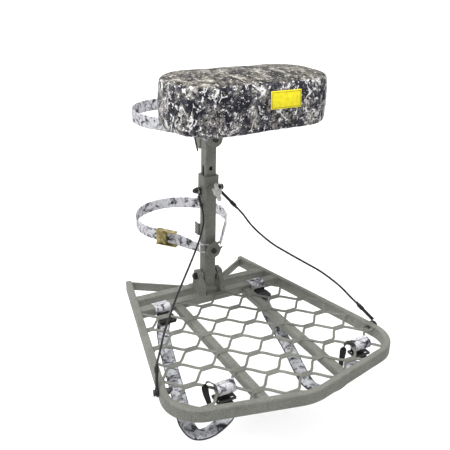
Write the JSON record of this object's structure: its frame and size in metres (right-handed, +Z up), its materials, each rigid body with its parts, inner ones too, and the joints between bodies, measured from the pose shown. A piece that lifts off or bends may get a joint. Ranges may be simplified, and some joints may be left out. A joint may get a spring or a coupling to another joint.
{
  "type": "hang-on tree stand",
  "caption": "Tree stand strapped to a trunk: mesh platform hung on cables, square post with adjustable height, flip-up padded seat.",
  "frame": {"origin": "on the trunk's axis at the lower strap's mid-height", "axes": "+Z up along the trunk, -Y towards the front of the platform and seat, +X to the right as seen from the front"},
  "size_m": [0.5946, 0.7847, 0.6784],
  "materials": {
    "frame_coat": "fine textured powder coat, matt",
    "black_hardware": "black oxide, satin",
    "zinc_hardware": "zinc plated, satin",
    "brass_buckle": "yellow zinc plated, worn satin",
    "cast_alloy": "as cast, bead blasted",
    "webbing": "woven webbing with a printed mottled camouflage",
    "padded_sling": "padded strap in printed mottled camouflage with edge binding",
    "coated_cable": "black coated steel cable, smooth",
    "black_plastic": "moulded, fine grain",
    "seat_fabric": "printed mottled camouflage fabric over foam",
    "label_patch": "plain woven patch, no marks",
    "drawcord": "braided cord"
  },
  "bodies": {
    "post": {"lower_post": "frame_coat", "collar": "frame_coat", "lower_trunk_brace": "frame_coat", "lower_standoff": "frame_coat", "lower_button": "frame_coat", "lower_button_screw": "black_hardware", "cross_bolt": "black_hardware", "cross_nut": "black_hardware", "cross_washers": "zinc_hardware", "lower_strap": "webbing", "lower_strap_tail": "webbing", "cam_buckle_frame": "brass_buckle", "cam_buckle_pin": "zinc_hardware", "cable_top_eyes": "coated_cable", "cable_top_sleeves": "coated_cable", "left_cable": "coated_cable", "right_cable": "coated_cable"},
    "cam_lever": {"cam_buckle_lever": "brass_buckle"},
    "wing": {"wing_screw": "cast_alloy"},
    "platform": {"left_rail": "frame_coat", "right_rail": "frame_coat", "front_rail": "frame_coat", "rear_crossbar": "frame_coat", "front_crossbar": "frame_coat", "left_stringer": "frame_coat", "right_stringer": "frame_coat", "left_trunk_bar": "frame_coat", "right_trunk_bar": "frame_coat", "left_ear": "frame_coat", "right_ear": "frame_coat", "deck_mesh": "frame_coat", "pivot_bolt": "black_hardware", "pivot_nut": "black_hardware", "pivot_bushes": "zinc_hardware", "cable_bottom_bolts": "black_hardware", "cable_bottom_nuts": "black_hardware", "cable_bottom_eyes": "coated_cable", "cable_bottom_sleeves": "coated_cable", "rear_wraps": "webbing", "front_wraps": "webbing", "strap_sliders": "black_plastic", "left_shoulder_strap": "padded_sling", "right_shoulder_strap": "padded_sling"},
    "seat_post": {"upper_post": "frame_coat", "post_cap": "black_plastic", "upper_trunk_brace": "frame_coat", "upper_standoff": "frame_coat", "upper_button": "frame_coat", "upper_button_screw": "black_hardware", "upper_strap": "webbing", "seat_arms": "frame_coat", "seat_hinge_bolt": "black_hardware", "seat_hinge_nut": "black_hardware"},
    "seat": {"seat_pan": "frame_coat", "seat_rivets": "zinc_hardware", "seat_cushion": "seat_fabric", "seat_label": "label_patch", "seat_drawcord": "drawcord"}
  },
  "joints": [
    {"name": "platform_fold", "type": "hinge", "parent": "post", "child": "platform", "pos_m": [0, -0.162, -0.098], "axis": [-1, 0, 0], "range_deg": [0, 50], "deforming": ["left_cable", "right_cable"]},
    {"name": "seat_height", "type": "slide", "parent": "post", "child": "seat_post", "axis": [0, 0, 1], "range_m": [-0.05, 0.025]},
    {"name": "seat_flip", "type": "hinge", "parent": "seat_post", "child": "seat", "pos_m": [0, -0.198, 0.324], "axis": [-1, 0, 0], "range_deg": [0, 90]},
    {"name": "wing_turn", "type": "hinge", "parent": "post", "child": "wing", "pos_m": [0, -0.202, 0.148], "axis": [0, 1, 0], "continuous": true},
    {"name": "cam_open", "type": "hinge", "parent": "post", "child": "cam_lever", "pos_m": [-0.09337, -0.10197, 0], "axis": [0, 0, 1], "range_deg": [0, 75]}
  ]
}
